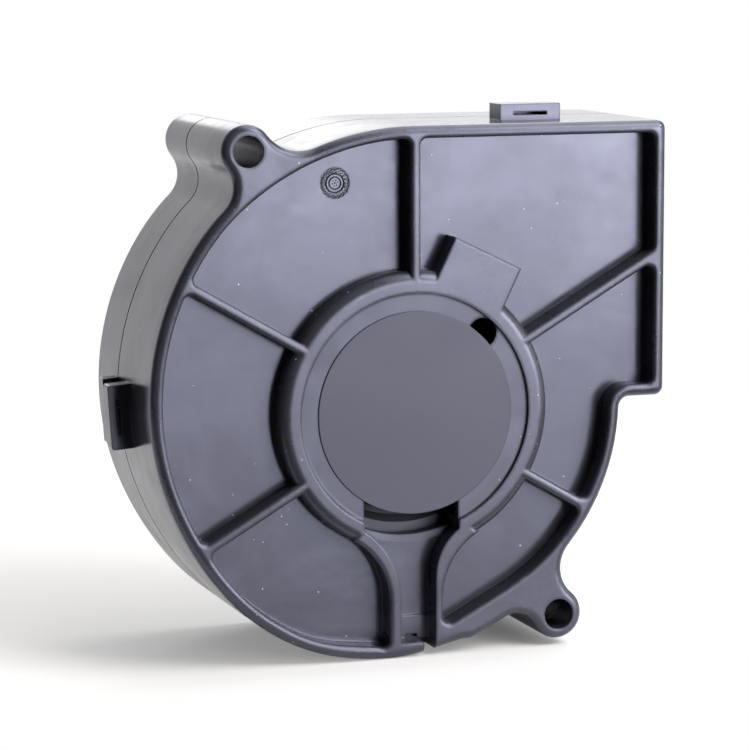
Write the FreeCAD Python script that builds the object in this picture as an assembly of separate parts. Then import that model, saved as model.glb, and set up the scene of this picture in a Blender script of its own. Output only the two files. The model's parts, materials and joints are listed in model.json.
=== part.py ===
import FreeCAD, Part
import math
import os

os.makedirs("parts", exist_ok=True)
Vec = FreeCAD.Vector
origin = (0.0, 0.0)

# Frame: origin on the fan axis in the rear mounting plane, +Y along the axis to the air inlet,
# +X out of the air outlet, +Z up. Millimetres.

# Casing outline. From the top to scroll_from the wall stands scroll_rise further out than the tongue.
# It then closes in evenly to tongue_land at the tongue's tip, but for a gentle bulge at the lower left.
tongue_r = 31.0
tongue_end = -62.0
tongue_land = 2.0
scroll_rise = 8.95
scroll_from = 130.0
scroll_ease = 12.0
scroll_step = 12.0
bulge = 1.05
bulge_at = 242.0
bulge_half = 42.0
outlet_run = 6.8
step_z = 0.6
step_r = 1.6
corner_r = 1.25

# Cuts run past a face by beyond, ribs reach far before they are trimmed, and what is fused to a wall
# starts inside it by sink. Points on the scroll are found by halving a range that many times.
beyond = 1.0
far = 70.0
sink = 0.5
touch = 1e-4
halvings = 50
nudge = 0.01

# Mounting lugs: where they stand, and how far out from the top wall or the tongue
lug_left_angle = 123.08
lug_left_out = 4.207
lug_right_angle = -54.43
lug_right_out = 6.13
lug_r = 3.65
lug_hole_r = 2.2
lug_span = 40.0
lug_blend = {"left_top": 6.0, "left_side": 4.2, "right_under": 3.5, "right_side": 5.0}

# Shells
depth = 30.0
split_y = 18.0
wall = 1.75
edge_round = 1.15
floor_y = 3.5
floor_t = 1.8
front_t = 1.6
inlet_over = 1.1
inlet_round = 1.2
joint_groove = 0.3
joint_groove_depth = 0.5
lip_t = 0.7
lip_h = 1.4
lip_gap = 0.1

# Rear ribs, hub ring and pad
rib_w = 1.5
rib_round = 0.55
rib_angles = (30.0, 90.0, 150.0, 210.0, 330.0)
pocket_corner_r = 1.0
ring_in_r = 16.83
ring_w = 3.07
ring_core_w = 0.67
ring_round = 1.6
disc_y = 0.5
disc_t = 1.5
cavity_step = 0.23
pad_angle = 64.0
pad_w = 11.0
pad_out = 4.6
pad_round = 0.25
pad_root = 6.0
rib_round_from = 0.3
peep_at = (10.0, 10.8)
peep_r = 2.1
stamp_angle = 108.4
stamp_below = 6.1
stamp_r = 2.1
stamp_line = 0.22
stamp_depth = 0.12

# Cable window, channel and retaining finger
window_left = -7.65
window_right = 6.4
window_top = -11.0
window_over = 0.97
channel_left = -2.28
channel_right = 2.95
channel_rib_left = 1.59
channel_rib_right = 1.1
channel_flare_left = 12.0
channel_flare_right = 8.0
channel_gusset = 10.5
channel_step_z = -29.4
channel_step = 0.3
sill_in = 0.9
sill_down = 0.2
finger_t = 1.6
finger_end = 1.15
finger_slit_len = 1.0
passage_left = -0.55
passage_y = 4.8
passage_len = 0.6

# Snap clips
clip_w = 9.1
clip_out = 3.0
clip_y = 11.4
clip_len = 2.4
clip_round = 0.4
clip_root = 2.0
clip_tongue_w = 5.0
clip_tongue_t = 0.6
clip_skin = 1.35
clip_gap = 0.12
clip_nose = 0.4
clip_slot_w = 5.1
clip_slot_t = 0.45
clip_barb = 0.35
clip_catch = 1.2
left_clip_angle = 180.0
right_clip_angle = -24.0
top_clip_x = 19.5
top_clip_y = 6.5
top_clip_len = 4.2
top_clip_out = 2.35
top_clip_skin = 0.6
top_clip_slot_at = 0.42
top_clip_slot_depth = 2.0
top_clip_root = 2.5

# Label
label_margin = 2.53
label_t = 0.2
label_round = 0.12

# Shaft and bearings
shaft_r = 1.5
shaft_end_y = 2.5
press_gap = 0.01
bearing_out_r = 4.0
bearing_w = 4.0
race_t = 0.62
ball_r = 0.7
ball_gap = 0.04
ball_count = 6
cage_t = 0.3
cage_h = 1.5
rear_bearing_y = 3.6
front_bearing_y = 13.6
tube_wall = 0.8
tube_lip = 0.5
tube_end_y = 18.0
boss_t = 1.2
boss_gap = 0.4
shaft_chamfer = 0.25
clip_ring_r = 2.7
clip_ring_t = 0.4
clip_ring_groove = 0.3
clip_ring_mouth = 0.8
washer_t = 0.3
washer_gap = 0.1
washer_in = 0.02
washer_rim = 0.6

# Stator
core_y = 9.5
core_t = 5.0
air_gap = 0.44
core_hub_share = 0.5136
pole_count = 4
pole_w = 2.8
shoe_t = 1.3
shoe_deg = 74.0
insulator_t = 0.8
insulator_grow = 0.3
insulator_flange = 1.4
insulator_deg = 64.0
coil_gap = 0.06
coil_t = 1.7
coil_clear = 0.5
board_y = 4.2
board_t = 1.0
board_margin = 1.4
board_bore_gap = 0.4
board_flat = 0.94
pin_r = 0.35
pin_end = 0.5
pin_hole_gap = 0.1
pin_collar = 0.35
chip_in = 1.65
chip_w = 3.9
chip_h = 4.9
chip_t = 1.4
chip_legs = 4
hall_in = 0.85
hall_w = 1.5
hall_h = 2.6
hall_t = 1.1
hall_legs = 2
leg_len = 0.8
leg_w = 0.4
leg_t = 0.3
capacitor_r = 0.95
capacitor_len = 3.6
capacitor_in = 1.75
capacitor_foot_in = 0.2
resistor_in = 2.12
resistor_angles = (130.0, 146.0, 48.0, -31.0, -47.0)
resistor_w = 1.6
resistor_h = 0.8
resistor_t = 0.45

# Rotor and impeller
yoke_r = 15.5
yoke_t = 0.8
yoke_y = 7.4
yoke_end_y = 20.3
yoke_round = 1.2
yoke_round_in = 0.5
magnet_t = 1.4
magnet_y = 7.6
magnet_len = 9.6
bushing_r = 3.2
bushing_len = 2.2
bushing_step = 0.8
bushing_room = 0.2
hub_wall = 1.49
hub_round = 1.5
hub_bevel = 0.95
hub_y = 6.1
hub_end_y = 22.0
fan_gap = 0.85
fan_front_gap = 1.6
fan_depth = 5.9
fan_plate_t = 1.2
fan_ring_w = 1.5
fan_ring_h = 1.8
fan_ring_out = 0.3
fan_sink = 0.4
blade_count = 32
blade_t = 0.75
blade_sweep = 7.0
blade_bow = 1.35


def at(point, y=0.0):
    return Vec(point[0], y, point[1])


def polar(centre, radius, angle):
    turn = math.radians(angle)
    return (centre[0] + radius * math.cos(turn), centre[1] + radius * math.sin(turn))


def heading(start, end):
    return math.degrees(math.atan2(end[1] - start[1], end[0] - start[0]))


def meet(c1, r1, c2, r2, side):
    """The point where two circles cross, to the left (+1) or right (-1) of the way from c1 to c2."""
    gap = math.hypot(c2[0] - c1[0], c2[1] - c1[1])
    along = (gap * gap + r1 * r1 - r2 * r2) / (2 * gap)
    across = math.sqrt(r1 * r1 - along * along) * side
    ux = (c2[0] - c1[0]) / gap
    uz = (c2[1] - c1[1]) / gap
    return (c1[0] + along * ux - across * uz, c1[1] + along * uz + across * ux)


# What the top and the outlet stand off the fan axis, and the lug centres
top_z = tongue_r + scroll_rise
outlet_x = tongue_r + outlet_run
scroll_to = tongue_end + 360.0
lug_left = polar(origin, top_z + lug_left_out, lug_left_angle)
lug_right = polar(origin, tongue_r + lug_right_out, lug_right_angle)

# The hub ring on the rear and what lies inside it
ring_out_r = ring_in_r + ring_w
ring_core_r = ring_in_r + ring_core_w
cavity_r = ring_in_r - cavity_step
window_r = ring_in_r + window_over
label_r = ring_in_r - label_margin
pad_r = ring_out_r + pad_out
stamp_at = polar(origin, top_z - stamp_below, stamp_angle)

# The fan fills the casing up to its running gaps, and the inlet opens over the blades' inner ends
fan_r = tongue_r - wall - lip_gap - lip_t - fan_gap - fan_ring_out
fan_in_r = fan_r - fan_depth
fan_end_y = depth - front_t - fan_front_gap
inlet_r = fan_in_r + inlet_over

# The motor is built up from the yoke inwards
hub_r = yoke_r + press_gap + hub_wall
core_r = yoke_r - yoke_t - press_gap - magnet_t - air_gap
core_hub_r = core_hub_share * core_r
coil_from_r = core_hub_r + insulator_grow + coil_clear
coil_to_r = core_r - shoe_t - coil_t / 2
pin_at_r = core_r - (insulator_grow + shoe_t) / 2
board_r = pin_at_r + board_margin
board_flat_z = board_flat - board_r
chip_at = (0.0, pin_at_r - chip_in)
hall_at = (pin_at_r - hall_in, 0.0)
capacitor_x = capacitor_in - pin_at_r


def reach(angle):
    """How far the scroll's outer face stands off the fan axis, from the top round to the tongue."""
    past = max(0.0, angle - scroll_from)
    slope = (scroll_rise - tongue_land) / (scroll_to - scroll_from - scroll_ease / 2)
    if past > scroll_ease:
        fall = slope * (past - scroll_ease / 2)
    else:
        fall = slope * past * past / (2 * scroll_ease)
    off = min(1.0, abs(angle - bulge_at) / bulge_half)
    return top_z - fall + bulge * (1 + math.cos(math.pi * off)) / 2


def scroll_point(angle, out=0.0):
    """A point moved off the scroll's outer face by out, and the heading of the face there."""
    slope = (reach(angle + nudge) - reach(angle - nudge)) / math.radians(2 * nudge)
    facing = angle - math.degrees(math.atan2(slope, reach(angle)))
    return polar(polar(origin, reach(angle), angle), out, facing), facing


def arc(centre, radius, start, end, y=0.0):
    middle = polar(centre, radius, (start + end) / 2)
    ends = [polar(centre, radius, start), polar(centre, radius, end)]
    return Part.Arc(at(ends[0], y), at(middle, y), at(ends[1], y)).toShape()


def scroll_edge(start, end, inset):
    """The scroll's wall line between two angles, moved inwards by inset."""
    count = math.ceil((end - start) / scroll_step)
    spots = [scroll_point(start + (end - start) * i / count, -inset) for i in range(count + 1)]
    ways = [at(polar(origin, 1.0, facing + 90)) for spot, facing in (spots[0], spots[-1])]
    curve = Part.BSplineCurve()
    curve.interpolate([at(spot) for spot, facing in spots], InitialTangent=ways[0], FinalTangent=ways[1])
    return curve.toShape()


def line(start, end, y=0.0):
    return Part.LineSegment(at(start, y), at(end, y)).toShape()


def prism(edges, y0, y1):
    face = Part.Face(Part.Wire(edges))
    face.translate(Vec(0, y0, 0))
    return face.extrude(Vec(0, y1 - y0, 0))


def closed(points, y0, y1):
    edges = [line(points[i], points[(i + 1) % len(points)]) for i in range(len(points))]
    return prism(edges, y0, y1)


def cylinder(radius, y0, y1, centre=origin):
    return Part.makeCylinder(radius, y1 - y0, at(centre, y0), Vec(0, 1, 0))


def tube(outer, inner, y0, y1, centre=origin):
    return cylinder(outer, y0, y1, centre).cut(cylinder(inner, y0 - beyond, y1 + beyond, centre))


def block(x0, x1, z0, z1, y0, y1):
    return Part.makeBox(x1 - x0, y1 - y0, z1 - z0, Vec(x0, y0, z0))


def turned(points):
    """A solid of revolution about the fan axis from a closed outline of (radius, y) points."""
    corners = [Vec(p[0], p[1], 0) for p in points]
    face = Part.Face(Part.makePolygon(corners + [corners[0]]))
    return face.revolve(Vec(0, 0, 0), Vec(0, 1, 0), 360)


def turn_by(shape, angle):
    """A copy turned about the fan axis, anticlockwise seen from behind."""
    copy = shape.copy()
    copy.rotate(Vec(0, 0, 0), Vec(0, 1, 0), -angle)
    return copy


def fused(shapes):
    return shapes[0].multiFuse(shapes[1:]).removeSplitter()


def upward(start, end):
    """The end angle written so that the arc runs anticlockwise from start."""
    while end < start:
        end += 360
    return end


def hollow_arc(centre, radius, before, after):
    """The arc that runs clockwise round a centre between the headings of two points."""
    start = heading(centre, before)
    end = heading(centre, after)
    while end > start:
        end -= 360
    return arc(centre, radius, start, end)


def scroll_touch(lug, blend_r, side):
    """The scroll angle where a hollow arc beside a lug lands, past the lug (+1) or before it (-1)."""
    near = upward(90.0, heading(origin, lug))
    away = near + side * lug_span
    for i in range(halvings):
        middle = (near + away) / 2
        centre, facing = scroll_point(middle, blend_r)
        if math.dist(centre, lug) < lug_r + blend_r:
            near = middle
        else:
            away = middle
    return near


def chain(pieces):
    """Edges through the given edges and corner points in turn, closed by straight lines."""
    ends = []
    for piece in pieces:
        if isinstance(piece, tuple):
            ends.append((at(piece), at(piece)))
        else:
            ends.append((piece.valueAt(piece.FirstParameter), piece.valueAt(piece.LastParameter)))
    edges = []
    for i, piece in enumerate(pieces):
        if not isinstance(piece, tuple):
            edges.append(piece)
        here = ends[i][1]
        after = ends[(i + 1) % len(ends)][0]
        if here.distanceToPoint(after) > touch / 100:
            edges.append(Part.LineSegment(here, after).toShape())
    return edges


def outlet_pieces(inset):
    """The step below the outlet and the outlet side, from the tongue up to the top edge."""
    fillet = (math.sqrt((tongue_r + step_r) ** 2 - (step_z - step_r) ** 2), step_z - step_r)
    tongue_stop = heading(origin, fillet)
    pieces = [arc(fillet, step_r + inset, tongue_stop + 180, 90.0)]
    if corner_r > inset:
        low = (outlet_x - corner_r, step_z + corner_r)
        high = (outlet_x - corner_r, top_z - corner_r)
        pieces.append(arc(low, corner_r - inset, -90.0, 0.0))
        pieces.append(arc(high, corner_r - inset, 0.0, 90.0))
    else:
        pieces.append((outlet_x - inset, step_z + inset))
        pieces.append((outlet_x - inset, top_z - inset))
    return tongue_stop, pieces


def casing_outline(inset=0.0):
    """The casing's outer outline with both lugs, moved inwards by inset."""
    b1 = meet(origin, top_z + lug_blend["left_top"], lug_left, lug_r + lug_blend["left_top"], -1)
    b4 = meet(lug_right, lug_r + lug_blend["right_side"], origin, tongue_r + lug_blend["right_side"], -1)
    left_land = scroll_touch(lug_left, lug_blend["left_side"], 1)
    right_land = scroll_touch(lug_right, lug_blend["right_under"], -1)
    b2 = scroll_point(left_land, lug_blend["left_side"])[0]
    b3 = scroll_point(right_land, lug_blend["right_under"])[0]
    left_spot = scroll_point(left_land)[0]
    right_spot = scroll_point(right_land)[0]
    tongue_stop, outlet = outlet_pieces(inset)
    lug1_from = upward(0, heading(lug_left, b1))
    lug2_from = upward(180, heading(lug_right, b3))
    pieces = [
        arc(origin, top_z - inset, 90.0, upward(90, heading(origin, b1))),
        hollow_arc(b1, lug_blend["left_top"] + inset, origin, lug_left),
        arc(lug_left, lug_r - inset, lug1_from, upward(lug1_from, heading(lug_left, b2))),
        hollow_arc(b2, lug_blend["left_side"] + inset, lug_left, left_spot),
        scroll_edge(left_land, right_land, inset),
        hollow_arc(b3, lug_blend["right_under"] + inset, right_spot, lug_right),
        arc(lug_right, lug_r - inset, lug2_from, upward(lug2_from, heading(lug_right, b4))),
        hollow_arc(b4, lug_blend["right_side"] + inset, lug_right, origin),
        arc(origin, tongue_r - inset, heading(origin, b4), tongue_stop),
    ]
    return chain(pieces + outlet)


def tongue_corner(start, inset):
    """The scroll angle where the straight line square to the tongue's tip runs into the wall."""
    way = at(polar(origin, 1.0, tongue_end - 90))
    low = scroll_to - 90
    high = scroll_to
    for i in range(halvings):
        middle = (low + high) / 2
        ray = at(scroll_point(middle, -inset)[0]) - at(start)
        if way.cross(ray).y > 0:
            low = middle
        else:
            high = middle
    return low


def scroll_outline(inset):
    """The spiral inside the casing walls, without the lugs."""
    tongue_stop, outlet = outlet_pieces(inset)
    start = polar(origin, tongue_r - inset, tongue_end)
    pieces = [
        scroll_edge(90.0, tongue_corner(start, inset), inset),
        arc(origin, tongue_r - inset, tongue_end, tongue_stop),
    ]
    return chain(pieces + outlet)


def flat_edges(shape, y, keep):
    """Edges lying in the plane at y whose middle point passes the test."""
    found = []
    for edge in shape.Edges:
        box = edge.BoundBox
        if abs(box.YMin - y) < touch and abs(box.YMax - y) < touch:
            middle = edge.valueAt((edge.FirstParameter + edge.LastParameter) / 2)
            if keep(middle):
                found.append(edge)
    return found


def upright_edges(shape, keep):
    """Straight edges along the fan axis whose middle point passes the test."""
    found = []
    for edge in shape.Edges:
        box = edge.BoundBox
        if box.XLength < touch and box.ZLength < touch and box.YLength > touch:
            middle = edge.valueAt((edge.FirstParameter + edge.LastParameter) / 2)
            if keep(middle):
                found.append(edge)
    return found


def radial_bar(angle, width, r0, r1, y0, y1):
    bar = block(r0, r1, -width / 2, width / 2, y0, y1)
    return turn_by(bar, angle)


def channel_side(side):
    """One side of the cable channel: its wall line, flare radius, rib width, gusset and flare centres."""
    x = channel_right if side > 0 else channel_left
    flare = channel_flare_right if side > 0 else channel_flare_left
    rib = channel_rib_right if side > 0 else channel_rib_left
    far_x = x + side * rib
    flare_x = x + side * flare
    flare_at = (flare_x, -math.sqrt((window_r + flare) ** 2 - flare_x ** 2))
    gusset_x = far_x + side * channel_gusset
    gusset_at = (gusset_x, -math.sqrt((ring_out_r + channel_gusset) ** 2 - gusset_x ** 2))
    return x, flare, far_x, flare_at, gusset_at


def channel_island(y0, y1):
    """The plan of both channel ribs with the channel between them, joined to the ring by gussets."""
    low = -reach(270.0)
    points = []
    for side in (1, -1):
        x, flare, far_x, flare_at, gusset_at = channel_side(side)
        line_angle = 180.0 if side > 0 else 0.0
        ring_angle = heading(gusset_at, origin)
        ring_point = polar(origin, ring_out_r, heading(origin, gusset_at))
        points.append((far_x, gusset_at, line_angle, ring_angle, ring_point))
    right, left = points
    edges = [
        line((left[0], low), (right[0], low)),
        line((right[0], low), (right[0], right[1][1])),
        arc(right[1], channel_gusset, 180.0, right[3]),
        line(right[4], (0, -ring_core_r / 2)),
        line((0, -ring_core_r / 2), left[4]),
        arc(left[1], channel_gusset, left[3], 0.0),
        line((left[0], left[1][1]), (left[0], low)),
    ]
    return prism(edges, y0, y1)


def channel_hollow(y0, y1, low):
    """The space between the channel ribs, flaring into the cable window."""
    right = channel_side(1)
    left = channel_side(-1)
    right_touch = heading(origin, right[3])
    left_touch = heading(origin, left[3])
    right_point = polar(origin, window_r, right_touch)
    left_point = polar(origin, window_r, left_touch)
    edges = [
        line((left[0], low), (right[0], low)),
        line((right[0], low), (right[0], right[3][1])),
        arc(right[3], right[1], 180.0, heading(right[3], origin)),
        line(right_point, (right_point[0], window_top)),
        line((right_point[0], window_top), (left_point[0], window_top)),
        line((left_point[0], window_top), left_point),
        arc(left[3], left[1], heading(left[3], origin), 0.0),
        line((left[0], left[3][1]), (left[0], low)),
    ]
    return prism(edges, y0, y1).common(block(window_left, window_right, -far, window_top, y0, y1))


def rear_pockets():
    """The six pockets between the rim, the ribs and the hub ring, open to the rear."""
    plan = prism(scroll_outline(wall), -beyond, floor_y)
    low = -2 * beyond
    high = floor_y + beyond
    cuts = [cylinder(ring_core_r, low, high), channel_island(low, high)]
    for angle in rib_angles:
        cuts.append(radial_bar(angle, rib_w, 0.0, far, low, high))
    pockets = plan.cut(cuts)
    rounded = []
    for solid in pockets.Solids:
        corners = upright_edges(solid, lambda p: math.hypot(p.x, p.z) > pad_r)
        rounded.append(solid.makeFillet(pocket_corner_r, corners))
    return rounded


def pad(y0, y1):
    return radial_bar(pad_angle, pad_w, ring_core_r - pad_root, pad_r, y0, y1)


def outer_clip(spot, facing):
    """A snap on the casing side: the hood of the rear shell, and the front shell's tongue that enters it."""
    def place(shape):
        copy = turn_by(shape, facing)
        copy.translate(at(spot))
        return copy
    half = clip_w / 2
    slot = clip_tongue_w / 2 + clip_gap
    sunk = -wall / 2
    hood_end = clip_y + clip_len
    top = clip_skin + clip_tongue_t
    nose_y = clip_y + clip_nose
    catch_y = nose_y + clip_catch
    hood = block(sunk, clip_out, -half, half, clip_y, hood_end)
    corners = [e for e in hood.Edges if e.BoundBox.XMin > clip_out - touch and e.BoundBox.ZLength < touch]
    hood = hood.makeFillet(clip_round, corners)
    room = block(clip_skin - clip_gap, top + clip_gap, -slot, slot, nose_y - clip_gap, hood_end + beyond)
    middle = clip_skin + clip_tongue_t / 2
    window = block(middle - clip_slot_t / 2, middle + clip_slot_t / 2,
                   -clip_slot_w / 2, clip_slot_w / 2, clip_y - beyond, nose_y)
    catch = block(clip_skin - clip_barb - clip_gap, clip_skin, -slot, slot, nose_y - clip_gap, catch_y + clip_gap)
    root = block(sunk, top, -half, half, split_y, split_y + clip_root)
    tongue = block(clip_skin, top, -clip_tongue_w / 2, clip_tongue_w / 2, nose_y, split_y + sink)
    barb = Part.Face(Part.makePolygon([
        Vec(clip_skin, nose_y, -clip_tongue_w / 2),
        Vec(clip_skin - clip_barb, catch_y, -clip_tongue_w / 2),
        Vec(clip_skin, catch_y, -clip_tongue_w / 2),
        Vec(clip_skin, nose_y, -clip_tongue_w / 2)])).extrude(Vec(0, 0, clip_tongue_w))
    hollow = room.fuse(window).fuse(catch)
    return place(hood), place(hollow), place(root.fuse(tongue).fuse(barb))


def top_clip():
    """The snap on the flat top: a hood on the rear shell that an inner tongue of the front shell enters."""
    x0 = top_clip_x - clip_w / 2
    x1 = top_clip_x + clip_w / 2
    y1 = top_clip_y + top_clip_len
    inner_z = top_z - wall
    slot = clip_tongue_w / 2 + clip_gap
    hood = block(x0, x1, inner_z + wall / 2, top_z + top_clip_out, top_clip_y, y1)
    room = block(top_clip_x - slot, top_clip_x + slot, inner_z - beyond, top_z + top_clip_out - top_clip_skin,
                 top_clip_y + top_clip_skin, y1 - top_clip_skin)
    middle = top_z + top_clip_out * top_clip_slot_at
    window = block(top_clip_x - clip_slot_w / 2, top_clip_x + clip_slot_w / 2,
                   middle - clip_slot_t / 2, middle + clip_slot_t / 2,
                   top_clip_y - beyond, top_clip_y + top_clip_slot_depth)
    low = inner_z - lip_gap - 2 * clip_tongue_t
    nose_y = top_clip_y + top_clip_skin + clip_gap
    tongue = block(top_clip_x - clip_tongue_w / 2, top_clip_x + clip_tongue_w / 2,
                   low, inner_z - lip_gap, nose_y, split_y + sink + top_clip_root)
    root = block(top_clip_x - clip_tongue_w / 2, top_clip_x + clip_tongue_w / 2,
                 low, inner_z + wall / 2, split_y + sink, split_y + sink + top_clip_root)
    nose_end = y1 - top_clip_skin - clip_gap
    nose_z = top_z + clip_barb
    nose = Part.Face(Part.makePolygon([
        Vec(top_clip_x - clip_tongue_w / 2, nose_y, low),
        Vec(top_clip_x - clip_tongue_w / 2, nose_end, nose_z),
        Vec(top_clip_x - clip_tongue_w / 2, nose_end, low),
        Vec(top_clip_x - clip_tongue_w / 2, nose_y, low)])).extrude(Vec(clip_tongue_w, 0, 0))
    return hood, room.fuse(window), tongue.fuse(root).fuse(nose)


def clips():
    left = outer_clip(*scroll_point(left_clip_angle))
    right = outer_clip(polar(origin, tongue_r, right_clip_angle), right_clip_angle)
    return left, right, top_clip()


def lug_holes():
    holes = []
    for centre in (lug_left, lug_right):
        holes.append(cylinder(lug_hole_r, -beyond, depth + beyond, centre))
    return holes


def joint_line():
    """The narrow groove round the outside where the two shells meet."""
    y0 = split_y - joint_groove / 2
    y1 = split_y + joint_groove / 2
    core = prism(casing_outline(joint_groove_depth), y0 - beyond, y1 + beyond)
    return prism(casing_outline(-beyond), y0, y1).cut(core)


def duct_mouth(y0, y1):
    return block(outlet_x - 3 * wall, outlet_x + beyond, step_z + wall, top_z - wall, y0, y1)


def hub_ring():
    """The raised ring round the hub, with a large outer rounding."""
    top_in = ring_in_r + pad_round
    start = (ring_out_r - ring_round, 0.0)
    middle = (ring_out_r - ring_round * (1 - math.sqrt(0.5)), ring_round * (1 - math.sqrt(0.5)))
    end = (ring_out_r, ring_round)
    floor_end = floor_y + floor_t

    def rim(p):
        return Vec(p[0], p[1], 0)
    edges = [
        Part.LineSegment(rim((ring_in_r, pad_round)), rim((top_in, 0.0))).toShape(),
        Part.LineSegment(rim((top_in, 0.0)), rim(start)).toShape(),
        Part.Arc(rim(start), rim(middle), rim(end)).toShape(),
        Part.LineSegment(rim(end), rim((ring_out_r, floor_end))).toShape(),
        Part.LineSegment(rim((ring_out_r, floor_end)), rim((ring_in_r, floor_end))).toShape(),
        Part.LineSegment(rim((ring_in_r, floor_end)), rim((ring_in_r, pad_round))).toShape(),
    ]
    return Part.Face(Part.Wire(edges)).revolve(Vec(0, 0, 0), Vec(0, 1, 0), 360)


def rear_housing(clip_sets):
    inner_y = floor_y + floor_t
    outside = -reach(270.0) - beyond
    shell = prism(casing_outline(), 0.0, split_y)
    shell = shell.makeFillet(edge_round, flat_edges(shell, 0.0, lambda p: True))
    pockets = rear_pockets()
    shell = shell.cut(pockets)

    def on_pocket(p):
        return math.hypot(p.x, p.z) > ring_core_r + rib_round_from
    inner = [e for e in flat_edges(shell, 0.0, on_pocket) if not on_outer_rim(e)]
    shell = shell.makeFillet(rib_round, inner)
    pad_block = pad(0.0, floor_y + sink)
    pad_top = flat_edges(pad_block, 0.0, lambda p: math.hypot(p.x, p.z) > ring_core_r)
    shell = shell.fuse([hub_ring(), pad_block.makeFillet(pad_round, pad_top)])
    shell = shell.cut([
        cylinder(ring_in_r, -beyond, disc_y),
        prism(scroll_outline(wall), inner_y, split_y + beyond),
        duct_mouth(inner_y, split_y + beyond),
        cylinder(cavity_r, disc_y + disc_t, inner_y + beyond),
        channel_hollow(-beyond, floor_y, channel_low()),
    ])
    shell = shell.fuse(block(channel_left, channel_right, channel_low() - sink, channel_step_z,
                             floor_y - channel_step, floor_y + sink))
    shell = shell.cut([
        window_cut(),
        channel_sill(),
        block(passage_left, finger_end, outside, channel_low() + passage_len, finger_t, passage_y),
        block(finger_end, channel_right, outside, channel_low(), -beyond, passage_y),
        block(finger_end, channel_right, channel_low() - sink, channel_low() + finger_slit_len,
              -beyond, finger_t + sink),
        cylinder(peep_r, -beyond, disc_y + disc_t + sink, peep_at),
        cylinder(bearing_out_r, -beyond, disc_y + disc_t + beyond),
        tube(stamp_r, stamp_r - stamp_line, floor_y - sink, floor_y + stamp_depth, stamp_at),
    ])
    shell = shell.cut([joint_line()] + lug_holes())
    for keeper, hollow, tongue in clip_sets:
        shell = shell.fuse(keeper).cut(hollow)
    boss_in = bearing_out_r + tube_wall + press_gap
    shell = shell.fuse(tube(boss_in + boss_t, boss_in, disc_y + disc_t, board_y - boss_gap))
    return shell.removeSplitter()


def on_outer_rim(edge):
    """Is the edge part of the outer rounding's line on the rear face?"""
    middle = edge.valueAt((edge.FirstParameter + edge.LastParameter) / 2)
    inside = Part.Face(Part.Wire(scroll_outline(wall - 100 * touch)))
    return not inside.isInside(Vec(middle.x, 0, middle.z), touch, True)


def channel_low():
    """Where the channel ends at the inner side of the rim."""
    return wall - reach(270.0)


def channel_sill():
    """The sloping edge where the channel floor meets the cable window."""
    low = floor_y - sink
    slope = turned([(window_r - sink, low), (window_r + sill_in, low), (window_r + sill_in, floor_y),
                    (window_r, floor_y + sill_down), (window_r - sink, floor_y + sill_down)])
    return slope.common(channel_hollow(low, floor_y + sink, channel_low()))


def window_cut():
    high = floor_y + floor_t + beyond
    plan = block(window_left, window_right, -ring_out_r, window_top, -beyond, high)
    return plan.common(cylinder(window_r, -beyond, high))


def front_cover(clip_sets):
    shell = prism(casing_outline(), split_y, depth)
    shell = shell.makeFillet(edge_round, flat_edges(shell, depth, lambda p: True))
    lip_out = wall + lip_gap
    lip_y = split_y - lip_h
    root_y = split_y + lip_t
    bore = prism(scroll_outline(lip_out + lip_t), lip_y - beyond, root_y + beyond)
    mouth_room = duct_mouth(lip_y - beyond, root_y + beyond)
    lip = prism(scroll_outline(lip_out), lip_y, root_y).cut([bore, mouth_room])
    root = prism(scroll_outline(wall - sink), split_y, root_y).cut([bore, mouth_room])
    shell = shell.cut([
        prism(scroll_outline(wall), split_y - beyond, depth - front_t),
        duct_mouth(split_y - beyond, depth - front_t),
        cylinder(inlet_r, split_y, depth + beyond),
    ])
    mouth = flat_edges(shell, depth, lambda p: math.hypot(p.x, p.z) < inlet_r + inlet_round)
    shell = shell.makeFillet(inlet_round, mouth)
    shell = shell.fuse([lip, root]).cut([joint_line()] + lug_holes())
    for keeper, hollow, tongue in clip_sets:
        shell = shell.fuse(tongue)
    return shell.removeSplitter()


def rear_label():
    label = cylinder(label_r, disc_y - label_t, disc_y)
    return label.makeFillet(label_round, flat_edges(label, disc_y - label_t, lambda p: True))


def bearing_tube():
    """The brass tube that holds both bearings apart with a lip at each seat."""
    outer = bearing_out_r + tube_wall
    rear_seat = rear_bearing_y + bearing_w
    body = cylinder(outer, disc_y + disc_t, tube_end_y)
    body = body.cut([
        cylinder(bearing_out_r + press_gap, disc_y, rear_seat),
        cylinder(bearing_out_r + press_gap, front_bearing_y, tube_end_y + beyond),
        cylinder(bearing_out_r - tube_lip, disc_y, tube_end_y + beyond),
    ])
    return body


def race_groove(y):
    pitch = bearing_pitch()
    return Part.makeTorus(pitch, ball_r + ball_gap, Vec(0, y + bearing_w / 2, 0), Vec(0, 1, 0))


def bearing_pitch():
    return (shaft_r + bearing_out_r) / 2


def outer_race(y):
    return tube(bearing_out_r, bearing_out_r - race_t, y, y + bearing_w).cut(race_groove(y))


def inner_race(y):
    bore = shaft_r + press_gap
    return tube(shaft_r + race_t, bore, y, y + bearing_w).cut(race_groove(y))


def ball_set(y):
    """The balls of one bearing, held in their cage ring."""
    pitch = bearing_pitch()
    middle = y + bearing_w / 2
    cage = tube(pitch + cage_t / 2, pitch - cage_t / 2, middle - cage_h / 2, middle + cage_h / 2)
    balls = []
    for i in range(ball_count):
        spot = polar(origin, pitch, 360.0 * i / ball_count)
        balls.append(Part.makeSphere(ball_r, at(spot, middle)))
    return cage.multiFuse(balls)


def shaft():
    rod = cylinder(shaft_r, shaft_end_y, yoke_end_y + bushing_len - yoke_t)
    rod = rod.makeChamfer(shaft_chamfer, flat_edges(rod, shaft_end_y, lambda p: True))
    groove_y = rear_bearing_y - clip_ring_t
    return rod.cut(tube(shaft_r + beyond, shaft_r - clip_ring_groove, groove_y, rear_bearing_y))


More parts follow.
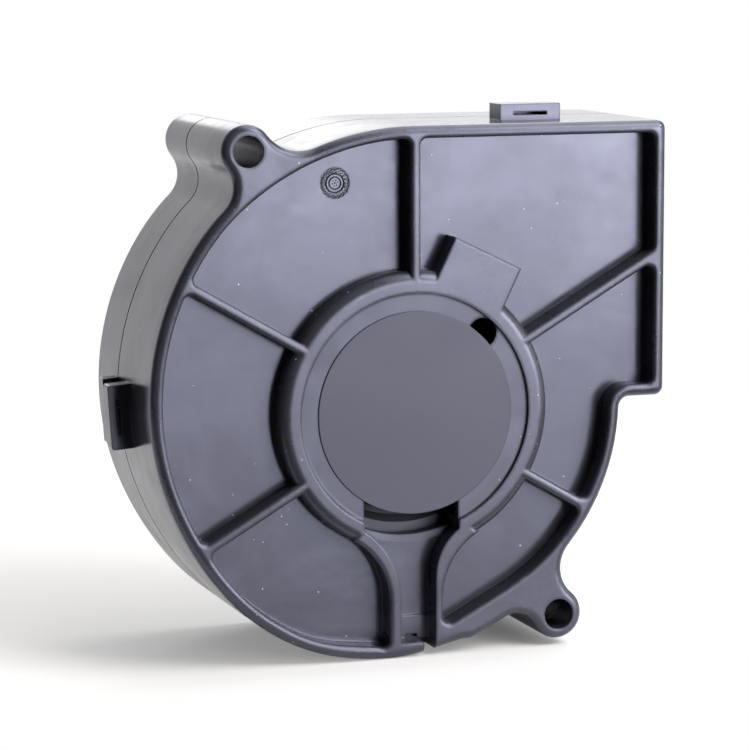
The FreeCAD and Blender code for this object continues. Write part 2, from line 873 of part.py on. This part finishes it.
def retaining_clip():
    """The split washer in the groove at the rear end of the shaft."""
    y0 = rear_bearing_y - clip_ring_t
    bore = shaft_r - clip_ring_groove + press_gap
    ring = tube(clip_ring_r, bore, y0, rear_bearing_y)
    mouth = bore * clip_ring_mouth
    gap = block(-mouth, mouth, -clip_ring_r - beyond, 0, y0 - beyond, rear_bearing_y + beyond)
    return ring.cut(gap)


def preload_spring():
    """The cupped spring washer between the front bearing and the rotor."""
    y0 = front_bearing_y + bearing_w
    y1 = bushing_y()
    inner = shaft_r + washer_gap
    outer = shaft_r + race_t - washer_in
    wide = bushing_r - washer_rim
    return turned([(inner, y0), (outer, y0), (wide, y1 - washer_t), (wide, y1), (inner + washer_t, y1),
                   (inner, y0 + washer_t)])


def bushing_y():
    return yoke_end_y - bushing_len


def shaft_bushing():
    """The brass hub pressed on the shaft, with the yoke seated on its shoulder."""
    seat = bushing_r - bushing_step
    bore = shaft_r + press_gap
    return turned([(bore, bushing_y()), (bushing_r, bushing_y()), (bushing_r, yoke_end_y - yoke_t),
                   (seat, yoke_end_y - yoke_t), (seat, yoke_end_y + bushing_len - yoke_t),
                   (bore, yoke_end_y + bushing_len - yoke_t)])


def rotor_yoke():
    """The deep drawn steel cup round the magnet."""
    seat = bushing_r - bushing_step + press_gap
    cup = cylinder(yoke_r, yoke_y, yoke_end_y)
    cup = cup.makeFillet(yoke_round, flat_edges(cup, yoke_end_y, lambda p: True))
    hollow = cylinder(yoke_r - yoke_t, yoke_y - beyond, yoke_end_y - yoke_t)
    hollow = hollow.makeFillet(yoke_round_in, flat_edges(hollow, yoke_end_y - yoke_t, lambda p: True))
    return cup.cut([hollow, cylinder(seat, yoke_y, yoke_end_y + beyond)])


def magnet_ring():
    outer = yoke_r - yoke_t - press_gap
    return tube(outer, outer - magnet_t, magnet_y, magnet_y + magnet_len)


def pole_angle(index):
    return 45.0 + 360.0 * index / pole_count


def wedge(degrees, y0, y1):
    """A sector about +X that wide, which trims a ring to one pole's share."""
    spread = core_r * math.tan(math.radians(degrees / 2))
    return closed([origin, (2 * core_r, -2 * spread), (2 * core_r, 2 * spread)], y0, y1)


def stator_core():
    """The stack of steel laminations with its T-shaped poles."""
    bore = bearing_out_r + tube_wall + press_gap
    y1 = core_y + core_t
    shapes = [cylinder(core_hub_r, core_y, y1)]
    shoe = tube(core_r, core_r - shoe_t, core_y, y1)
    for i in range(pole_count):
        shapes.append(radial_bar(pole_angle(i), pole_w, 0.0, core_r - shoe_t / 2, core_y, y1))
        shapes.append(turn_by(shoe.common(wedge(shoe_deg, core_y, y1)), pole_angle(i)))
    return fused(shapes).cut(cylinder(bore, core_y - beyond, y1 + beyond))


def insulator(side):
    """The plastic bobbin half over one end of the core, side -1 at the rear and +1 at the front."""
    seat = core_y if side < 0 else core_y + core_t
    flat = seat + side * insulator_t
    tall = flat + side * insulator_flange
    y0, y1 = min(seat, flat), max(seat, flat)
    h0, h1 = min(seat, tall), max(seat, tall)
    bore = bearing_out_r + tube_wall + 2 * insulator_grow
    shapes = [tube(core_hub_r + insulator_grow, bore, h0, h1)]
    rim = tube(core_r - insulator_grow, core_r - shoe_t, h0, h1)
    width = pole_w + 2 * insulator_grow
    for i in range(pole_count):
        shapes.append(radial_bar(pole_angle(i), width, core_hub_r, core_r - shoe_t / 2, y0, y1))
        shapes.append(turn_by(rim.common(wedge(insulator_deg, h0, h1)), pole_angle(i)))
    return fused(shapes).cut(cylinder(bore, h0 - beyond, h1 + beyond))


def coil(index):
    """One winding round a pole, with rounded corners."""
    half_w = pole_w / 2 + insulator_grow + coil_gap
    y0 = core_y - insulator_t - coil_gap
    y1 = core_y + core_t + insulator_t + coil_gap
    outer = block(coil_from_r, coil_to_r, -half_w - coil_t, half_w + coil_t, y0 - coil_t / 2, y1 + coil_t / 2)
    edges = [e for e in outer.Edges if e.BoundBox.XLength > touch * 100]
    outer = outer.makeFillet(coil_t / 2, edges)
    hole = block(coil_from_r - beyond, coil_to_r + beyond, -half_w, half_w, y0, y1)
    return turn_by(outer.cut(hole), pole_angle(index))


def circuit_board():
    """The round driver board, with a flat where the leads come in from the cable window."""
    bore = bearing_out_r + tube_wall + board_bore_gap
    low = board_y - beyond
    high = board_y + board_t + beyond
    board = tube(board_r, bore, board_y, board_y + board_t)
    holes = []
    for i in range(pole_count):
        holes.append(cylinder(pin_r + pin_hole_gap, low, high, pin_spot(i)))
    flat = block(-board_r, board_r, -board_r - beyond, board_flat_z, low, high)
    return board.cut(holes + [flat])


def pin_spot(index):
    return polar(origin, pin_at_r, pole_angle(index))


def winding_pins():
    """The four pins from the rear bobbin through the board, which carry it."""
    y1 = core_y - insulator_t - insulator_flange
    pins = []
    for i in range(pole_count):
        pin = cylinder(pin_r, board_y - pin_end, y1, pin_spot(i))
        collar = cylinder(pin_r + pin_collar, board_y + board_t, y1, pin_spot(i))
        pins.append(pin.fuse(collar))
    return Part.makeCompound(pins)


def chip(centre, width, height, y0, thick, legs, leg_y):
    """A small surface package from y0 up, with its legs on both sides at leg_y."""
    x, z = centre
    tip = width / 2 + leg_len
    body = block(x - width / 2, x + width / 2, z - height / 2, z + height / 2, y0, y0 + thick)
    leads = []
    for i in range(legs):
        lead_z = z + height * ((i + 0.5) / legs - 0.5)
        leads.append(block(x - tip, x + tip, lead_z - leg_w / 2, lead_z + leg_w / 2,
                           leg_y, leg_y + leg_t))
    return fused([body] + leads)


def driver_chip():
    """The motor driver on the rear face of the board."""
    return chip(chip_at, chip_w, chip_h, board_y - chip_t, chip_t, chip_legs, board_y - leg_t)


def hall_sensor():
    """The rotor position sensor on the front face of the board, under the magnet."""
    top = board_y + board_t
    return chip(hall_at, hall_w, hall_h, top, hall_t, hall_legs, top)


def capacitor():
    """The small can that lies on the rear face of the board, on its foot."""
    half = capacitor_len / 2
    low = Vec(capacitor_x, board_y - capacitor_r, -half)
    can = Part.makeCylinder(capacitor_r, capacitor_len, low, Vec(0, 0, 1))
    foot = block(capacitor_x - capacitor_r, capacitor_x + capacitor_r, -half + capacitor_foot_in,
                 half - capacitor_foot_in, board_y - capacitor_r / 2, board_y)
    return fused([can, foot])


def resistors():
    parts = []
    for angle in resistor_angles:
        x, z = polar(origin, pin_at_r - resistor_in, angle)
        parts.append(block(x - resistor_w / 2, x + resistor_w / 2, z - resistor_h / 2, z + resistor_h / 2,
                           board_y - resistor_t, board_y))
    return Part.makeCompound(parts)


def blade(y0, y1):
    """One forward-leaning blade, an arc of even thickness between the plate's two radii."""
    inner = polar(origin, fan_in_r, 0.0)
    outer = polar(origin, fan_r, -blade_sweep)
    chord = math.dist(inner, outer)
    way = heading(inner, outer)
    half = chord / 2
    bow_r = half * blade_bow
    middle = ((inner[0] + outer[0]) / 2, (inner[1] + outer[1]) / 2)
    centre = polar(middle, math.sqrt(bow_r ** 2 - half ** 2), way - 90)
    start = heading(centre, inner)
    end = heading(centre, outer)
    while end > start:
        end -= 360
    back = bow_r + blade_t / 2
    face = bow_r - blade_t / 2
    edges = [
        arc(centre, back, start, end),
        line(polar(centre, back, end), polar(centre, face, end)),
        arc(centre, face, end, start),
        line(polar(centre, face, start), polar(centre, back, start)),
    ]
    return prism(edges, y0, y1)


def impeller():
    """The cup-shaped hub, the plate that joins it to the blades, and the ring at the inlet end."""
    plate_y1 = hub_y + fan_plate_t
    cup = cylinder(hub_r, hub_y, hub_end_y)
    cup = cup.makeFillet(hub_round, flat_edges(cup, hub_end_y, lambda p: True))
    inner = cylinder(yoke_r + press_gap, hub_y - beyond, yoke_end_y + press_gap)
    inner = inner.makeFillet(yoke_round, flat_edges(inner, yoke_end_y + press_gap, lambda p: True))
    pocket_r = bushing_r - bushing_step + bushing_room
    pocket_end = yoke_end_y + bushing_len - yoke_t + bushing_room
    bore = yoke_r + press_gap
    bevel = Part.makeCone(bore + hub_bevel, bore, hub_bevel, at(origin, hub_y), Vec(0, 1, 0))
    cup = cup.cut([inner, bevel, cylinder(pocket_r, yoke_end_y - beyond, pocket_end)])
    plate = tube(fan_r, hub_r - fan_sink, hub_y, plate_y1)
    ring_r = fan_r + fan_ring_out
    ring = tube(ring_r, ring_r - fan_ring_w, fan_end_y - fan_ring_h, fan_end_y)
    blades = []
    single = blade(plate_y1 - fan_sink, fan_end_y - fan_sink)
    for i in range(blade_count):
        blades.append(turn_by(single, 360.0 * i / blade_count))
    return cup.multiFuse([plate, ring] + blades)


left_set, right_set, top_set = clips()
clip_sets = [left_set, right_set, top_set]
nodes = {
    "rear_housing": rear_housing(clip_sets),
    "front_cover": front_cover(clip_sets),
    "rear_label": rear_label(),
    "bearing_tube": bearing_tube(),
    "rear_bearing_outer_ring": outer_race(rear_bearing_y),
    "rear_bearing_inner_ring": inner_race(rear_bearing_y),
    "rear_ball_set": ball_set(rear_bearing_y),
    "front_bearing_outer_ring": outer_race(front_bearing_y),
    "front_bearing_inner_ring": inner_race(front_bearing_y),
    "front_ball_set": ball_set(front_bearing_y),
    "shaft": shaft(),
    "retaining_clip": retaining_clip(),
    "preload_spring": preload_spring(),
    "shaft_bushing": shaft_bushing(),
    "rotor_yoke": rotor_yoke(),
    "magnet_ring": magnet_ring(),
    "impeller": impeller(),
    "stator_core": stator_core(),
    "rear_insulator": insulator(-1),
    "front_insulator": insulator(1),
    "circuit_board": circuit_board(),
    "winding_pins": winding_pins(),
    "driver_chip": driver_chip(),
    "hall_sensor": hall_sensor(),
    "capacitor": capacitor(),
    "resistors": resistors(),
}
for i in range(pole_count):
    nodes["coil_" + str(i + 1)] = coil(i)

for name, shape in nodes.items():
    print(name, shape.isValid(), len(shape.Solids), round(shape.Volume, 2), len(shape.Faces))
    shape.exportStep("parts/" + name + ".step")
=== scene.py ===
import json
import math

import bmesh
import bpy
from mathutils import Matrix, Vector


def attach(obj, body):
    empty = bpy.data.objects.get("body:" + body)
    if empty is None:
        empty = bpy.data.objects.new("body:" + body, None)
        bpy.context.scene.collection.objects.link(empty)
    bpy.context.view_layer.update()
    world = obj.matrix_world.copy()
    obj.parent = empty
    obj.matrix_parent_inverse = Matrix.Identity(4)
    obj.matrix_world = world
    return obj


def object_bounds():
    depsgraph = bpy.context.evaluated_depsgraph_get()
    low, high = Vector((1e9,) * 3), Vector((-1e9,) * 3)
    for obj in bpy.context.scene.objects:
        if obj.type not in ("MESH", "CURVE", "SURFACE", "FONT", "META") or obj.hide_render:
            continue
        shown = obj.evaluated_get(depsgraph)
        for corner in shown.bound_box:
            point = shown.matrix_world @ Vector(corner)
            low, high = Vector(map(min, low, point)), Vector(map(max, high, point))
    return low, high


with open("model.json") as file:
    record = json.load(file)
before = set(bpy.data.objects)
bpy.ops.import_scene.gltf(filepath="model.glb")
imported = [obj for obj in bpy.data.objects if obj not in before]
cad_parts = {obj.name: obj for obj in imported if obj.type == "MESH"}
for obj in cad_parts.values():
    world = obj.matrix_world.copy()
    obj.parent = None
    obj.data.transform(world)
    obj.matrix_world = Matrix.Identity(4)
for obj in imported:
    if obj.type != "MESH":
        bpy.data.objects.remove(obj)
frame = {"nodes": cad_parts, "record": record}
cad_low, cad_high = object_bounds()
nodes = frame["nodes"]
mm = 0.001

# Camera, solved from the photograph: place in metres, angles in degrees, lens and sensor in millimetres
camera_at = (-0.1452, -0.3987, 0.0660)
camera_yaw = 19.23
camera_pitch = 8.13
camera_roll = 0.16
camera_lens = 148.0
sensor_width = 36.0
clip_near = 0.01
clip_far = 20.0

# Softboxes aimed at the part: name, azimuth, elevation, distance, (width, height), radiance, roll.
# The azimuth runs from the part's front to its right. Angles are in degrees and lengths in metres.
# The flat faces mirror the two keys, and the lower ones mirror the dim softbox below them.
softboxes = (
    ("key_softbox", 29.0, 6.0, 0.75, (0.56, 0.29), 9.8, 0.0),
    ("key_side", 38.0, 5.5, 0.75, (0.34, 0.29), 4.4, -7.0),
    ("low_softbox", 27.0, -10.3, 0.75, (0.56, 0.11), 3.7, 0.0),
    ("right_softbox", 78.0, 8.0, 0.8, (0.5, 0.45), 1.8, 0.0),
    ("side_softbox", 45.0, 42.0, 0.8, (0.45, 0.45), 9.5, 0.0),
    ("top_softbox", 105.0, 70.0, 0.8, (0.6, 0.6), 3.6, 0.0),
    ("back_softbox", 160.0, 32.0, 0.8, (0.6, 0.6), 1.9, 0.0),
)

# Floor, in metres. It is cut off close in front of the part, so that mirrored rays pass below it.
floor_radius = 0.2
floor_middle = Vector((-0.02, 0.125, cad_low.z))
floor_front_y = -0.016
floor_segments = 96
paper_colour = (0.86, 0.847, 0.834, 1.0)
far_fade = (0.13, 0.195)
near_fade = (0.001, 0.018)
shadow_lift = (0.25, 0.1)
shadow_lift_x = (0.01, 0.035)

# Surroundings: dim in front of the part, white behind it, by the ray's direction along y
world_dim = 0.04
world_white = 1.0
world_turn = (0.4, 0.8)

# Parts of the casing that differ in finish: depths behind the rear face and radii about the fan axis
pocket_depth = (2.6 * mm, 3.4 * mm)
pad_edge_r = (16.6 * mm, 17.0 * mm)
lip_inner_r = (17.6 * mm, 17.8 * mm)
lip_outer_r = (18.7 * mm, 18.9 * mm)
lip_depth = (2.8 * mm, 3.0 * mm)

# Mould mark in one pocket, in millimetres and degrees: ring lines as (radius, width), a middle dot,
# a circle of dots round it, and a halo of dots that thin out outwards
stamp_at = (-10.68, 3.5, 32.12)
stamp_rings = ((1.3, 0.24), (0.84, 0.2))
stamp_line_high = 0.2
stamp_middle_dot = 0.13
circle_dots = 6
circle_r = 0.4
circle_dot = 0.1
circle_start = 10.0
halo_dots = 110
halo_r = 1.5
halo_width = 0.75
halo_thinning = 1.4
halo_dot = (0.07, 0.13)
golden_angle = 137.5
halo_r_step = 0.755
halo_dot_step = 0.37

white = (1.0, 1.0, 1.0, 1.0)
cool_tint = (0.78, 0.79, 1.0, 1.0)
casing_tint = (0.74, 0.755, 1.0, 1.0)


def rgb(red, green, blue):
    """A colour given as display values from 0 to 255."""
    return tuple(((c / 255 + 0.055) / 1.055) ** 2.4 if c > 10 else c / 255 / 12.92
                 for c in (red, green, blue)) + (1.0,)


# Plastics: colour, roughness, specular level, specular tint
plastics = {
    "impeller_plastic": (rgb(44, 44, 50), 0.36, 0.5, cool_tint),
    # The mould mark's colour is darker than the casing's own plastic: painted shade for its fine relief.
    "mould_stamp": (rgb(26, 26, 29), 0.45, 0.3, white),
    "magnet_rubber": (rgb(28, 27, 28), 0.75, 0.15, white),
    "bobbin_plastic": (rgb(30, 30, 32), 0.5, 0.3, white),
    "board_laminate": (rgb(32, 92, 58), 0.4, 0.5, white),
    "chip_plastic": (rgb(30, 30, 32), 0.5, 0.5, white),
}

# Metals: colour, roughness, and whether they show turning marks
metals = {
    "brass": (rgb(196, 164, 96), 0.28, True),
    "bearing_steel": (rgb(168, 168, 172), 0.2, True),
    "ball_steel": (rgb(190, 190, 194), 0.12, False),
    "shaft_steel": (rgb(176, 176, 178), 0.22, True),
    "spring_steel": (rgb(120, 120, 126), 0.3, True),
    "yoke_steel": (rgb(52, 52, 58), 0.5, True),
    "core_steel": (rgb(118, 116, 116), 0.42, True),
    "copper_wire": (rgb(176, 98, 58), 0.35, True),
    "tinned_pins": (rgb(186, 186, 184), 0.3, True),
    "capacitor_can": (rgb(170, 172, 176), 0.3, True),
}


# Camera and lights

def make_camera():
    data = bpy.data.cameras.new("camera")
    data.lens = camera_lens
    data.sensor_width = sensor_width
    data.clip_start = clip_near
    data.clip_end = clip_far
    camera = bpy.data.objects.new("camera", data)
    camera.location = camera_at
    turn = Matrix.Rotation(math.radians(-camera_yaw), 4, "Z")
    tilt = Matrix.Rotation(math.radians(90 - camera_pitch), 4, "X")
    roll = Matrix.Rotation(math.radians(-camera_roll), 4, "Z")
    camera.rotation_euler = (turn @ tilt @ roll).to_euler()
    bpy.context.scene.collection.objects.link(camera)
    bpy.context.scene.camera = camera


def area_light(name, azimuth, elevation, distance, size, radiance, roll):
    """A softbox aimed at the part. Its energy follows from its radiance and its area."""
    data = bpy.data.lights.new(name, "AREA")
    data.shape = "RECTANGLE"
    data.size, data.size_y = size
    data.energy = radiance * math.pi * size[0] * size[1]
    around = math.radians(azimuth)
    up = math.radians(elevation)
    level = math.cos(up)
    at = Vector((math.sin(around) * level, -math.cos(around) * level, math.sin(up))) * distance
    aim = (-at).to_track_quat("-Z", "Y").to_matrix()
    light = bpy.data.objects.new(name, data)
    light.location = at
    light.rotation_euler = (aim @ Matrix.Rotation(math.radians(roll), 3, "Z")).to_euler()
    bpy.context.scene.collection.objects.link(light)


def make_lights():
    for softbox in softboxes:
        area_light(*softbox)


# Node helpers

class Nodes:
    """Adds nodes to a material or world, and links a socket wherever one is given as a value."""

    def __init__(self, tree):
        self.tree = tree

    def add(self, kind, **sockets):
        node = self.tree.nodes.new(kind)
        for key, value in sockets.items():
            self.put(node, key.replace("_", " "), value)
        return node

    def put(self, node, key, value):
        socket = node.inputs[key]
        if isinstance(value, bpy.types.NodeSocket):
            self.tree.links.new(value, socket)
        else:
            socket.default_value = value

    def noise(self, place, scale, detail=2.0, rough=0.5, lump=0.0):
        node = self.add("ShaderNodeTexNoise", Vector=place, Scale=scale, Detail=detail,
                        Roughness=rough, Distortion=lump)
        return node.outputs["Fac"]

    def ramp(self, value, span, to=(0.0, 1.0)):
        """A smooth step from to[0] at span[0] to to[1] at span[1]."""
        node = self.add("ShaderNodeMapRange", Value=value, From_Min=span[0], From_Max=span[1],
                        To_Min=to[0], To_Max=to[1])
        node.interpolation_type = "SMOOTHSTEP"
        return node.outputs["Result"]

    def math(self, operation, a, b=0.0):
        node = self.add("ShaderNodeMath")
        node.operation = operation
        self.put(node, 0, a)
        self.put(node, 1, b)
        return node.outputs[0]

    def total(self, *values):
        """The sum of several values."""
        result = values[0]
        for value in values[1:]:
            result = self.math("ADD", result, value)
        return result

    def mix(self, share, a, b):
        """A colour between a and b. The numbers are the colour sockets of the mix node."""
        node = self.add("ShaderNodeMix")
        node.data_type = "RGBA"
        for index, value in ((0, share), (6, a), (7, b)):
            self.put(node, index, value)
        return node.outputs[2]

    def bump(self, shader, height, strength, depth, **normal):
        node = self.add("ShaderNodeBump", Height=height, Strength=strength, Distance=depth, **normal)
        self.put(shader, "Normal", node.outputs["Normal"])

    def surface(self, share, shaded, plain, output):
        """Mixes two shaders and sends them to a new output node."""
        mixed = self.add("ShaderNodeMixShader", Fac=share)
        self.put(mixed, 1, shaded.outputs[0])
        self.put(mixed, 2, plain.outputs[0])
        self.add(output, Surface=mixed.outputs[0])


# Materials

def new_material(name):
    material = bpy.data.materials.new(name)
    material.use_nodes = True
    tree = material.node_tree
    n = Nodes(tree)
    place = n.add("ShaderNodeTexCoord").outputs["Object"]
    return material, n, tree.nodes["Principled BSDF"], place


def set_gloss(shader, level, tint):
    shader.inputs["Specular IOR Level"].default_value = level
    shader.inputs["Specular Tint"].default_value = tint


def scaled(colour, factor):
    return tuple(min(1.0, c * factor) for c in colour[:3]) + (1.0,)


def dust_specks(n, place):
    """1 on a few pale specks of dust, 0 elsewhere."""
    cells = n.add("ShaderNodeTexVoronoi", Vector=place, Scale=560.0)
    speck = n.ramp(cells.outputs["Distance"], (0.03, 0.07), to=(1.0, 0.0))
    rare = n.ramp(n.noise(place, 900.0, detail=0.0), (0.5, 0.62))
    return n.math("MULTIPLY", speck, rare)


def casing_regions(n, place):
    """How far a point is in a pocket (0 on rims, 1 on floors), on the label's pad and on the window's lip."""
    split = n.add("ShaderNodeSeparateXYZ", Vector=place)
    x, y, z = (split.outputs[key] for key in "XYZ")
    from_axis = n.math("SQRT", n.math("ADD", n.math("POWER", x, 2.0), n.math("POWER", z, 2.0)))
    pocket = n.ramp(y, pocket_depth)
    pad = n.ramp(from_axis, pad_edge_r, to=(1.0, 0.0))
    ring = n.math("MULTIPLY", n.ramp(from_axis, lip_inner_r), n.ramp(from_axis, lip_outer_r, to=(1.0, 0.0)))
    lip = n.math("MULTIPLY", ring, n.ramp(y, lip_depth))
    return pocket, pad, lip


def casing_plastic():
    """Moulded semi-gloss plastic: fine mould texture, cloudy handling marks and a few dust specks.

    Rims are rougher and rounder than pocket floors, and the pad and the window's lip are duller."""
    material, n, shader, place = new_material("casing_plastic")
    pocket, pad, lip = casing_regions(n, place)
    cloud = n.noise(place, 70.0, detail=3.0, rough=0.55, lump=0.6)
    smear = n.noise(place, 260.0, detail=4.0, rough=0.6, lump=0.3)

    base = n.mix(n.ramp(cloud, (0.35, 0.68)), rgb(42, 41, 47), rgb(55, 55, 64))
    n.put(shader, "Base Color", n.mix(dust_specks(n, place), base, rgb(190, 190, 196)))
    n.put(shader, "Roughness", n.total(
        n.ramp(cloud, (0.3, 0.7), to=(0.24, 0.16)),
        n.ramp(smear, (0.35, 0.75), to=(0.0, 0.05)),
        n.ramp(pocket, (0.0, 1.0), to=(0.05, 0.0)),
        n.math("MULTIPLY", pad, 0.1),
        n.math("MULTIPLY", lip, 0.3)))
    shader.inputs["IOR"].default_value = 1.55
    set_gloss(shader, 0.6, casing_tint)

    grain = n.noise(place, 5200.0, rough=0.6)
    coarse = n.noise(place, 2300.0, rough=0.7)
    wave = n.noise(place, 140.0, detail=3.0, rough=0.6)
    height = n.total(grain, n.math("MULTIPLY", coarse, n.ramp(pocket, (0.0, 1.0), to=(2.5, 1.0))),
                     n.math("MULTIPLY", wave, 12.0))
    edge = n.add("ShaderNodeBevel", Radius=n.ramp(pocket, (0.0, 1.0), to=(0.6 * mm, 0.3 * mm)))
    n.bump(shader, height, strength=0.13, depth=0.02 * mm, Normal=edge.outputs["Normal"])
    return material


def label_film():
    """Matt cool-grey film, blank, with soft cloudy variation."""
    material, n, shader, place = new_material("label_film")
    cloud = n.noise(place, 60.0, detail=3.0)
    n.put(shader, "Base Color", n.mix(n.ramp(cloud, (0.3, 0.7)), rgb(48, 47, 56), rgb(60, 59, 70)))
    n.put(shader, "Roughness", n.ramp(cloud, (0.3, 0.7), to=(0.36, 0.5)))
    shader.inputs["IOR"].default_value = 1.5
    set_gloss(shader, 0.5, cool_tint)
    n.bump(shader, n.noise(place, 3000.0), strength=0.1, depth=0.01 * mm)
    return material


def simple_plastic(name, colour, rough, level, tint):
    """A fine-grained moulded plastic in one tone with slight variation."""
    material, n, shader, place = new_material(name)
    cloud = n.noise(place, 120.0, detail=3.0)
    tone = n.mix(n.ramp(cloud, (0.3, 0.7)), scaled(colour, 0.82), scaled(colour, 1.15))
    n.put(shader, "Base Color", tone)
    n.put(shader, "Roughness", n.ramp(cloud, (0.3, 0.7), to=(rough - 0.05, rough + 0.06)))
    set_gloss(shader, level, tint)
    n.bump(shader, n.noise(place, 4500.0), strength=0.15, depth=0.02 * mm)
    return material


def metal(name, colour, rough, turned):
    """Bare metal with slight tarnish, and with fine marks round the fan axis where it is turned."""
    material, n, shader, place = new_material(name)
    tarnish = n.noise(place, 300.0, detail=4.0)
    n.put(shader, "Base Color", n.mix(n.ramp(tarnish, (0.35, 0.7)), colour, scaled(colour, 0.8)))
    n.put(shader, "Roughness", n.ramp(tarnish, (0.3, 0.7), to=(rough, rough + 0.12)))
    shader.inputs["Metallic"].default_value = 1.0
    if turned:
        stretch = n.add("ShaderNodeMapping", Vector=place, Scale=(1.0, 30.0, 1.0))
        marks = n.noise(stretch.outputs["Vector"], 900.0, detail=3.0)
        n.bump(shader, marks, strength=0.2, depth=0.01 * mm)
    return material


def make_materials():
    made = {"casing_plastic": casing_plastic(), "label_film": label_film()}
    for name, look in plastics.items():
        made[name] = simple_plastic(name, *look)
    for name, look in metals.items():
        made[name] = metal(name, *look)
    return made


def dress_nodes(materials):
    for part in frame["record"]["subparts"]:
        node = nodes[part["node"]]
        node.data.materials.clear()
        node.data.materials.append(materials[part["material_slot"]])


# Mould mark

def ring_line(bm, centre, radius, width, high):
    """A raised ring line on a face that looks to the rear, half sunk into it."""
    around = 72
    section = 10
    rows = []
    for i in range(around):
        turn = 2 * math.pi * i / around
        row = []
        for j in range(section):
            tip = 2 * math.pi * j / section
            out = radius + width / 2 * math.cos(tip)
            row.append(bm.verts.new((centre.x + out * math.cos(turn),
                                     centre.y - high * math.sin(tip),
                                     centre.z + out * math.sin(turn))))
        rows.append(row)
    for i, row in enumerate(rows):
        after = rows[(i + 1) % around]
        for j in range(section):
            k = (j + 1) % section
            bm.faces.new((row[j], row[k], after[k], after[j]))


def stamp_dots():
    """The dots of the mould mark, as distance from its middle, angle and radius."""
    dots = [(0.0, 0.0, stamp_middle_dot)]
    for i in range(circle_dots):
        dots.append((circle_r, 360.0 / circle_dots * i + circle_start, circle_dot))
    for i in range(halo_dots):
        out = halo_r + halo_width * ((i * halo_r_step) % 1.0) ** halo_thinning
        size = halo_dot[0] + (halo_dot[1] - halo_dot[0]) * ((i * halo_dot_step) % 1.0)
        dots.append((out, golden_angle * i, size))
    return dots


def mould_stamp():
    """A plain tool mark without any letters: ring lines and flat dots, half sunk into the pocket's floor."""
    centre = Vector(stamp_at) * mm
    bm = bmesh.new()
    for radius, width in stamp_rings:
        ring_line(bm, centre, radius * mm, width * mm, stamp_line_high * mm)
    for out, angle, size in stamp_dots():
        turn = math.radians(angle)
        spot = centre + Vector((math.cos(turn), 0.0, math.sin(turn))) * out * mm
        flat = Matrix.Diagonal((size * mm, 0.5 * size * mm, size * mm, 1.0))
        bmesh.ops.create_icosphere(bm, subdivisions=2, radius=1.0, matrix=Matrix.Translation(spot) @ flat)
    bmesh.ops.recalc_face_normals(bm, faces=bm.faces[:])
    mesh = bpy.data.meshes.new("mould_stamp")
    bm.to_mesh(mesh)
    bm.free()
    for face in mesh.polygons:
        face.use_smooth = True
    stamp = bpy.data.objects.new("mould_stamp", mesh)
    bpy.context.scene.collection.objects.link(stamp)
    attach(stamp, "housing")
    return stamp


# Floor and surroundings

def floor_mesh():
    """A disc about its own middle, without the part in front of the cut."""
    bm = bmesh.new()
    bmesh.ops.create_circle(bm, cap_ends=True, segments=floor_segments, radius=floor_radius)
    bmesh.ops.bisect_plane(bm, geom=bm.verts[:] + bm.edges[:] + bm.faces[:],
                           plane_co=(0, floor_front_y - floor_middle.y, 0),
                           plane_no=(0, -1, 0), clear_outer=True)
    mesh = bpy.data.meshes.new("floor")
    bm.to_mesh(mesh)
    bm.free()
    return mesh


def floor_paper():
    """Pale paper that turns plain white far away and near the cut, and a little all over its shadow."""
    material = bpy.data.materials.new("floor_paper")
    material.use_nodes = True
    material.node_tree.nodes.clear()
    n = Nodes(material.node_tree)
    place = n.add("ShaderNodeTexCoord").outputs["Object"]
    split = n.add("ShaderNodeSeparateXYZ", Vector=place)
    length = n.add("ShaderNodeVectorMath")
    length.operation = "LENGTH"
    n.put(length, 0, place)
    far = n.ramp(length.outputs["Value"], far_fade)
    cut_y = floor_front_y - floor_middle.y
    near = n.ramp(split.outputs["Y"], (cut_y + near_fade[0], cut_y + near_fade[1]), to=(1.0, 0.0))
    near = n.math("MAXIMUM", near, n.ramp(split.outputs["X"], shadow_lift_x, to=shadow_lift))

    # Mirrors see the far fade too, and only the camera sees the near one
    path = n.add("ShaderNodeLightPath")
    direct = path.outputs["Is Camera Ray"]
    seen = n.math("MAXIMUM", path.outputs["Is Glossy Ray"], path.outputs["Is Transmission Ray"])
    seen = n.math("MULTIPLY", n.math("MAXIMUM", seen, direct), far)
    seen = n.math("MAXIMUM", seen, n.math("MULTIPLY", direct, near))
    paper = n.add("ShaderNodeBsdfDiffuse", Color=paper_colour)
    plain = n.add("ShaderNodeEmission", Color=white, Strength=1.0)
    n.surface(seen, paper, plain, "ShaderNodeOutputMaterial")
    return material


def make_floor():
    mesh = floor_mesh()
    mesh.materials.append(floor_paper())
    floor = bpy.data.objects.new("floor", mesh)
    floor.location = floor_middle
    bpy.context.scene.collection.objects.link(floor)


def make_world():
    """White for the camera. Other rays find it dim in front of the part and white behind it."""
    world = bpy.data.worlds.new("studio")
    bpy.context.scene.world = world
    world.use_nodes = True
    world.node_tree.nodes.clear()
    n = Nodes(world.node_tree)
    way = n.add("ShaderNodeTexCoord").outputs["Generated"]
    split = n.add("ShaderNodeSeparateXYZ", Vector=way)
    level = n.ramp(split.outputs["Y"], world_turn, to=(world_dim, world_white))
    grey = n.add("ShaderNodeCombineColor", Red=level, Green=level, Blue=level)
    around = n.add("ShaderNodeBackground", Color=grey.outputs[0], Strength=1.0)
    plain = n.add("ShaderNodeBackground", Color=white, Strength=1.0)
    path = n.add("ShaderNodeLightPath")
    n.surface(path.outputs["Is Camera Ray"], around, plain, "ShaderNodeOutputWorld")


bpy.context.scene.view_settings.view_transform = "Standard"
make_camera()
make_world()
make_lights()
make_floor()
materials = make_materials()
dress_nodes(materials)
stamp = mould_stamp()
# The mould mark's dark plastic is painted shade for its fine relief.
stamp.data.materials.append(materials["mould_stamp"])
